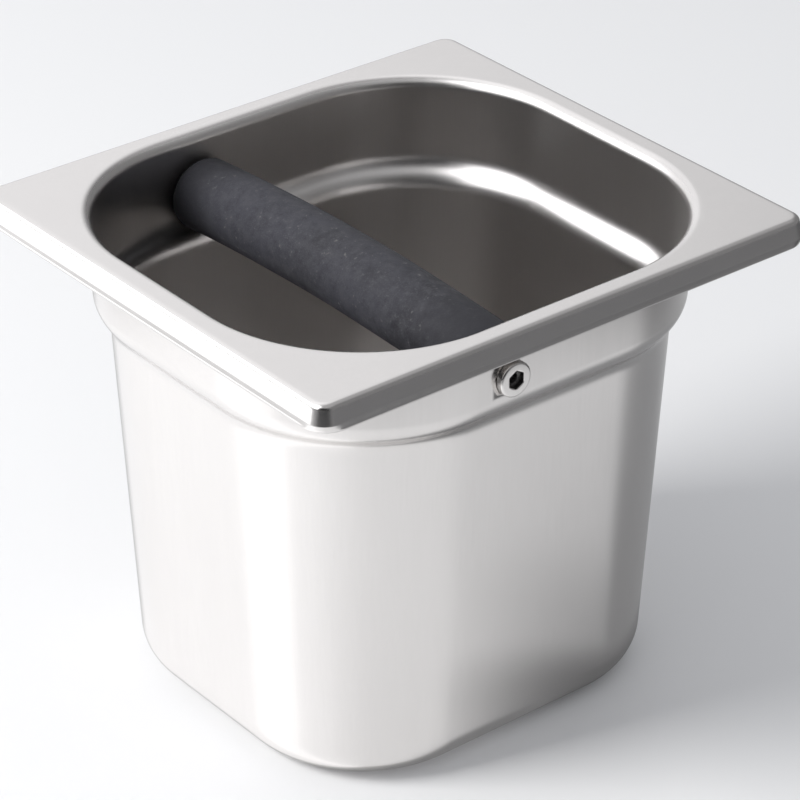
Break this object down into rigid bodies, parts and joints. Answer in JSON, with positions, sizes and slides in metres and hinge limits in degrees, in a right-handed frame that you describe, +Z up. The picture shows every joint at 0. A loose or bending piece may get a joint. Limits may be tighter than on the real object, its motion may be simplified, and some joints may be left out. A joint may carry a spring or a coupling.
{
  "type": "espresso knock box",
  "caption": "Deep-drawn steel container with a wide turned-down rim and a rubber-covered knock bar screwed across its mouth, for knocking out spent coffee.",
  "frame": {"origin": "on the bench, under the middle of the rim", "axes": "+Z up, +X along the longer side of the rim, +Y along the knock bar, which is offset towards -X"},
  "size_m": [0.176, 0.162, 0.15],
  "materials": {
    "container_steel": "satin drawn stainless sheet with fine upright brush lines",
    "rod_steel": "turned bright bar",
    "sleeve_rubber": "matt charcoal rubber, lightly scuffed",
    "screw_steel": "bright stainless"
  },
  "bodies": {
    "box": {"container": "container_steel", "bar_rod": "rod_steel", "screw_front": "screw_steel", "screw_rear": "screw_steel"},
    "sleeve": {"bar_sleeve": "sleeve_rubber"}
  },
  "joints": [
    {"name": "sleeve_turn", "type": "hinge", "parent": "box", "child": "sleeve", "pos_m": [-0.0161, 0, 0.1312], "axis": [0, 1, 0], "continuous": true}
  ]
}
